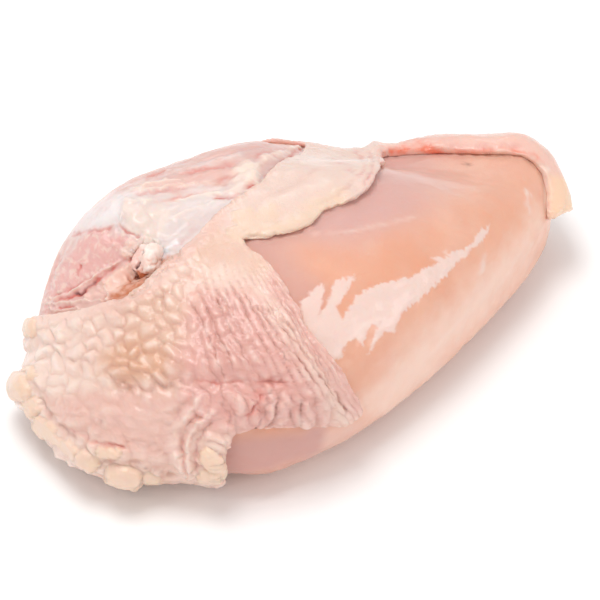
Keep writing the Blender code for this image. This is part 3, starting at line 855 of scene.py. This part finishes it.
def gooseFlesh(points, pixels, wrinkled):
    # rounded pillows in rows, which run together to long wrinkles near the front edge, with a painted
    # highlight on the pillows' tops and the beads' crowns, and painted shade in the valleys and creases
    row, along, domeHeight = rowsOf(pixels)
    row = row + noiseAt(points, 9, 2, 11) * 0.5
    along = along + noiseAt(points, 7, 2, 12) * 0.5
    border, share = rowCells(row, along)
    pillow = (1 - (1 - np.clip(border / 0.9, 0, 1)) ** 2) * (0.5 + 0.7 * share)
    ridge = np.abs(np.mod(row, 1) - 0.5) * 2
    offset = np.mod(np.sin(np.floor(row) * 12.99) * 437.5, 1)
    bead = np.abs(np.mod(along * 0.8 + offset, 1) - 0.5) * 2
    beadDepth = np.interp(domeHeight, (0.36, 0.9), (0.25, 0.6))
    wrinkle = np.sqrt(np.clip(1 - ridge**2.5, 0, 1))
    wrinkle *= 1 - beadDepth * (1 - np.sqrt(np.clip(1 - bead**2.5, 0, 1)))
    height = pillow * (1 - wrinkled) * skinValues["pillowFullness"] + wrinkle * wrinkled
    tops = smoothStep(0.3, 0.8, border) * (1 - wrinkled) * 0.55
    crowns = smoothStep(0.7, 0.2, ridge) * smoothStep(0.9, 0.3, bead) * wrinkled * 0.35
    # painted shade: darker in the valleys between pillows and along the wrinkles' creases
    valley = smoothStep(0.3, 0.02, border) * (1 - wrinkled) * 0.42
    crease = smoothStep(0.7, 0.98, ridge) * wrinkled * 0.35
    return height * domeHeight * mm, tops + crowns, valley, crease


def makeSkin(meatTree):
    obj = copyOfNode("skin", "chickenSkin")
    roundOff(obj, 1)

    def outward(centres, facing):
        # the side that doesn't lie on the muscle
        distance, turned, _ = overSurface(meatTree, centres, facing)
        return (distance > 0.9 * mm) & (turned > -0.3)

    def nearFaces(centres, facing):
        return outward(centres, facing) & (facingView(centres, facing) > -0.15)

    def seenFaces(centres, facing):
        pixels = pictured(centres)
        smooth = (pixels[:, 0] > skinValues["smoothFrom"]) | (insideOutline(pixels, innerFlap) > 12)
        return outward(centres, facing) & (facingView(centres, facing) > 0) & ~smooth

    def wrinkledFaces(centres, facing):
        pixels = pictured(centres)
        wanted = nearThinLines(pixels, skinStrokes, *skinValues["fineStrokes"])
        return seenFaces(centres, facing) & (wanted | (insideOutline(pixels, fineBand) > 0))

    makeFiner(obj, (nearFaces, seenFaces, wrinkledFaces))
    points, normals = surfaceOf(obj.data)
    thickness, turned, meatNormals = overSurface(meatTree, points, normals)
    outside = smoothStep(-0.1, 0.5, turned) * smoothStep(*skinValues["edgeThickness"], thickness / mm)

    # the sheet slides down along the muscle at its ragged edge and where its edge lies lower
    pixels = pictured(points)
    edge = np.exp(-((lineDistance(pixels, flapEdge)[0] / 6) ** 2))
    lower = noiseAt(points, 2.4, 2, 61) * skinValues["edgeRaggedness"] * edge
    for line, reach, depth in skinValues["slides"]:
        lower += depth * np.exp(-((lineDistance(pixels, line)[0] / reach) ** 2))
    slide = -viewUp * (lower * mm)[:, None]
    points = points + slide - meatNormals * (slide * meatNormals).sum(1)[:, None]
    seen = smoothStep(-0.3, -0.1, facingView(points, normals))
    clear = smoothStep(*skinValues["foot"], points[:, 2] / mm)
    points = nudge(points)
    pixels = pictured(points)
    ragged = shaken(points, pixels, 5, 3, 1, skinValues["raggedness"])

    inner = within(ragged, innerFlap, -3, 7) * seen
    wrinkled = within(ragged, fineZone, -10, 14) * seen
    calm = within(ragged, smoothZone, -12, 8) * seen
    low = within(ragged, lowSkin, -12, 12) * seen
    roll = within(pixels, rollZone, -4, 4) * seen
    halfRagged = pixels + (ragged - pixels) * 0.5
    lobes, fat, gaps = raiseLobes(fatLobes, halfRagged, seen)
    flapFat, flapCover, flapGaps = raiseLobes(flapLobes, halfRagged, seen)

    strength = np.clip(0.75 + 0.7 * noiseAt(points, 7, 2, 14), 0.2, 1.3) * seen
    strength *= (1 - inner) * (1 - 0.9 * calm) * (1 - roll) * (1 - 0.6 * low) * (1 - 0.95 * fat)
    strength *= 1 - nearLine(pixels, crestLine, 15, 3)
    height, pale, valley, crease = (value * strength for value in gooseFlesh(points, pixels, wrinkled))
    tints = {name: np.zeros(len(points)) for name in ("rosy", "red", "groove")}
    tints.update(pale=pale, valley=valley, crease=crease)
    hidden = cellBorders(points, skinValues["hiddenSpacing"], 3)
    height += smoothStep(0, 0.8, hidden) * skinValues["hiddenHeight"] * mm * (1 - seen) * (1 - roll)

    height += raiseStrokes(skinStrokes, points, pixels, seen, tints)
    height += lobes + flapFat
    knobs = smoothStep(0, 0.6, cellBorders(points, skinValues["knobSpacing"], 15))
    height += knobs * skinValues["knobHeight"] * mm * inner * nearLine(ragged, flapEdge, 24, 6)
    height += noiseAt(points, 4.5, 3, 33) * skinValues["innerRipple"] * mm * np.maximum(inner, low)
    height += noiseAt(points, 10, 2, 35) * skinValues["broadRipple"] * mm
    plain, wrinkles, hanging = skinValues["crinkles"]
    crinkles = (plain + wrinkles * wrinkled + hanging * low) * (1 - 0.8 * roll)
    height += noiseAt(points, 2.6, 3, 36) * crinkles * mm
    height += noiseAt(points, 1.1, 2, 37) * skinValues["fineRipple"] * mm * (1 - 0.5 * roll)
    points = points + normals * (height * clear * outside)[:, None]

    # painted shade: darker over the wrinkled part, near its left end
    dusk = nearLine(ragged, duskLine, 45, 10) * wrinkled * 0.22
    tints.update({
        "rosy": np.maximum.reduce((
            tints["rosy"], low * 0.4,
            within(ragged, redZone, -18, 18) * seen * 0.9,
            within(pixels, farZone, -4, 4) * seen * 0.6,
            nearLine(pixels, crestLine, 14, 3) * seen * 0.25,
            nearLine(pixels, frontLine, 22, 6) * seen * 0.7,
        )),
        # painted shade in the creases and in the gaps round the lobes of fat
        "crease": np.maximum.reduce((tints["crease"], gaps * 0.35, flapGaps * 0.15, dusk)),
        # painted light: the left end of the skin lighter
        "pale": tints["pale"] + smoothStep(130, 40, pixels[:, 0]) * seen * (1 - low) * 0.45,
        "fat": fat * (0.8 + 0.6 * noiseAt(points, 5, 3, 38)),
        "butter": np.maximum(flapCover * 0.6, nearLine(ragged, flapEdge, 26, 4) * inner * 0.7),
        "tip": within(pixels, rollTip, -5, 5) * seen,
        "inner": inner,
        "roll": np.maximum(roll, within(pixels, farRoll, -4, 4) * seen),
        "tan": np.maximum(within(ragged, tanZone, -16, 16) * seen * 0.8, calm * 0.5),
        "yellow": within(ragged, yellowZone, -14, 10) * seen * 0.8,
    })
    return finishPiece(obj, points, tints)


def skinMaterial():
    # raw chicken skin, damp: thin and milky, the fat under it shows yellow, and its wrinkles shine; painted
    # highlights and painted shade follow its pillows, ridges and creases
    return tissueMaterial("dampChickenSkin", {
        "Roughness": 0.38, "IOR": 1.42, "Subsurface Weight": 0.35, "Subsurface Radius": (1.0, 0.5, 0.32),
        "Subsurface Scale": 0.0015, "Coat Weight": 0.5, "Coat Roughness": 0.14, "Coat IOR": 1.4,
    }, (("E8C2B2", "EFD1C2"), 8, 4), (
        ("tan", "E0B7A0"), ("yellow", "DCA888"), ("inner", "E9CCBF"), ("roll", "EFC3B4"),
        # the valley and crease colours are painted shade, the paler colour a painted highlight
        ("rosy", "E2A99F"), ("tip", "F6CEB0"), ("valley", "D89F8B"), ("crease", "BF8172"),
        ("pale", "F8E2D6"), ("fat", "F0D0B8"), ("butter", "ECCDB3"), ("red", "DB776A"),
        ("groove", "EC8468"),
    ), ((1.1, 0.12, 3), (0.45, 0.1, 2)))  # mm: the crinkles between pimples, and the skin's own grain


# Shoulder joint

jointValues = {
    "smoothings": 3,
    "raggedness": 5,  # pixels by which the edges of its tints waver
    "swell": 0.5,  # heights in mm
    "tissueDrop": 0.9,  # where pink tissue lies at its left
    "bloodDrop": 0.7,  # where it sinks into the cleft
    "unevenness": 0.4,
    "tissueEdge": 141,  # columns and rows of the picture
    "bloodEdge": 271,
}
jointStrokes = (
    # dark painted shade in the gaps beside the knob
    (-0.9, 0.35, "gapShade", 0.9, ((134, 270), (137, 266), (140, 261))),
    (-0.7, 0.3, "gapShade", 0.5, ((141, 256), (143, 252), (144, 248))),
    (0.5, 1.0, None, 0, ((148, 262), (156, 258))),
    (0.4, 0.8, None, 0, ((146, 268), (156, 268))),
    (-0.3, 0.4, "blush", 0.5, ((148, 266), (156, 264), (162, 258))),
)


def makeJoint():
    obj = copyOfNode("shoulder_joint", "shoulderKnob")
    roundOff(obj, 3)
    bm = bmesh.new()
    bm.from_mesh(obj.data)
    for _ in range(jointValues["smoothings"]):
        smoothed(bm, bm.verts)
    bm.to_mesh(obj.data)
    bm.free()
    points, normals = surfaceOf(obj.data)
    pixels = pictured(points)
    seen = smoothStep(0, 0.2, facingView(points, normals))
    ragged = shaken(points, pixels, 3, 2, 44, jointValues["raggedness"])
    tissue = smoothStep(-3, 4, jointValues["tissueEdge"] - ragged[:, 0])
    blood = smoothStep(-2, 5, ragged[:, 1] - jointValues["bloodEdge"])
    blush = smoothStep(0.1, 0.5, noiseAt(points, 4, 3, 43)) * 0.5
    tints = {"blush": blush, "tissue": tissue, "blood": blood, "gapShade": np.zeros(len(points))}
    height = jointValues["swell"] - tissue * jointValues["tissueDrop"] - blood * jointValues["bloodDrop"]
    height = (height + noiseAt(points, 3, 2, 41) * jointValues["unevenness"]) * mm
    height += raiseStrokes(jointStrokes, points, pixels, seen, tints)
    return finishPiece(obj, points + normals * height[:, None], tints)


def cartilageMaterial():
    # hyaline cartilage, wet: pearly and smooth, with shreds of pink tissue and dark painted shade in the
    # gaps beside it
    return tissueMaterial("pearlyCartilage", {
        "Roughness": 0.3, "IOR": 1.4, "Subsurface Weight": 0.4, "Subsurface Radius": (1.0, 0.7, 0.6),
        "Subsurface Scale": 0.003, "Coat Weight": 0.3, "Coat Roughness": 0.15,
    }, (("F3DACD", "F7E6DE"), 4, 3), (
        ("blush", "EBC2B4"), ("tissue", "F0C8BD"), ("blood", "C77852"), ("gapShade", "5A2024"),
    ), ((1.2, 0.12, 3),))  # mm: shreds of tissue


# Studio

studioValues = {
    "airLight": 0.6,
    "floorSize": 3,
    # name, place, what it points at, size in metres, power in watts
    "boxes": (
        ("overheadBox", (-0.12, 0.05, 0.8), (0, 0, 0.03), (0.42, 0.32), 2.9),
        ("frontStrip", (0.55, -0.6, 0.4), (0.02, 0, 0.03), (0.5, 0.2), 1.3),
        ("leftBox", (-0.75, -0.35, 0.3), (0, 0, 0.02), (0.5, 0.3), 0.75),
        ("backBox", (0.2, 0.8, 0.6), (0, 0, 0.03), (0.6, 0.3), 1.2),
    ),
}


def softbox(name, place, aim, size, power):
    light = bpy.data.lights.new(name, "AREA")
    light.shape = "RECTANGLE"
    light.size, light.size_y = size
    light.energy = power
    obj = addObject(name, light)
    obj.location = place
    obj.rotation_mode = "QUATERNION"
    obj.rotation_quaternion = (Vector(aim) - Vector(place)).to_track_quat("-Z", "Y")


def makeStudio():
    bm = bmesh.new()
    bmesh.ops.create_grid(bm, x_segments=1, y_segments=1, size=studioValues["floorSize"])
    mesh = bpy.data.meshes.new("paleTable")
    bm.to_mesh(mesh)
    bm.free()
    # matt white card: a pale ground without shine
    mesh.materials.append(newMaterial("whiteCard", {"Roughness": 0.9, "Base Color": linear("FFFFFF")})[0])
    addObject("paleTable", mesh)

    world = bpy.data.worlds.new("studioAir")
    world.use_nodes = True
    air = world.node_tree.nodes["Background"].inputs
    air["Color"].default_value = (1, 1, 1, 1)
    air["Strength"].default_value = studioValues["airLight"]
    scene.world = world
    for box in studioValues["boxes"]:
        softbox(*box)

    camera = bpy.data.cameras.new("pictureCamera")
    camera.lens = cameraValues["lens"]
    camera.sensor_width = cameraValues["sensor"]
    half = cameraValues["picture"] / 2
    camera.shift_x = (half - cameraValues["aimPixel"][0]) / cameraValues["picture"]
    camera.shift_y = (cameraValues["aimPixel"][1] - half) / cameraValues["picture"]
    obj = addObject("pictureCamera", camera)
    obj.location = viewPoint
    obj.rotation_mode = "QUATERNION"
    obj.rotation_quaternion = Matrix((viewRight, viewUp, viewBack)).transposed().to_quaternion()
    scene.camera = obj
    scene.view_settings.view_transform = "Standard"


def main():
    pieces = (
        (makeMeat(treeOf("skin")), muscleMaterial(), "breast_meat", "raw_muscle"),
        (makeSkin(treeOf("breast_meat")), skinMaterial(), "skin", "raw_skin"),
        (makeJoint(), cartilageMaterial(), "shoulder_joint", "cartilage"),
    )
    for piece, material, node, slotName in pieces:
        piece.data.materials.clear()
        piece.data.materials.append(material)
        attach(piece, "root")
        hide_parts(node)
        print(piece.name, sum(len(face.vertices) - 2 for face in piece.data.polygons), "triangles")
    makeStudio()
    print("studio made")


main()
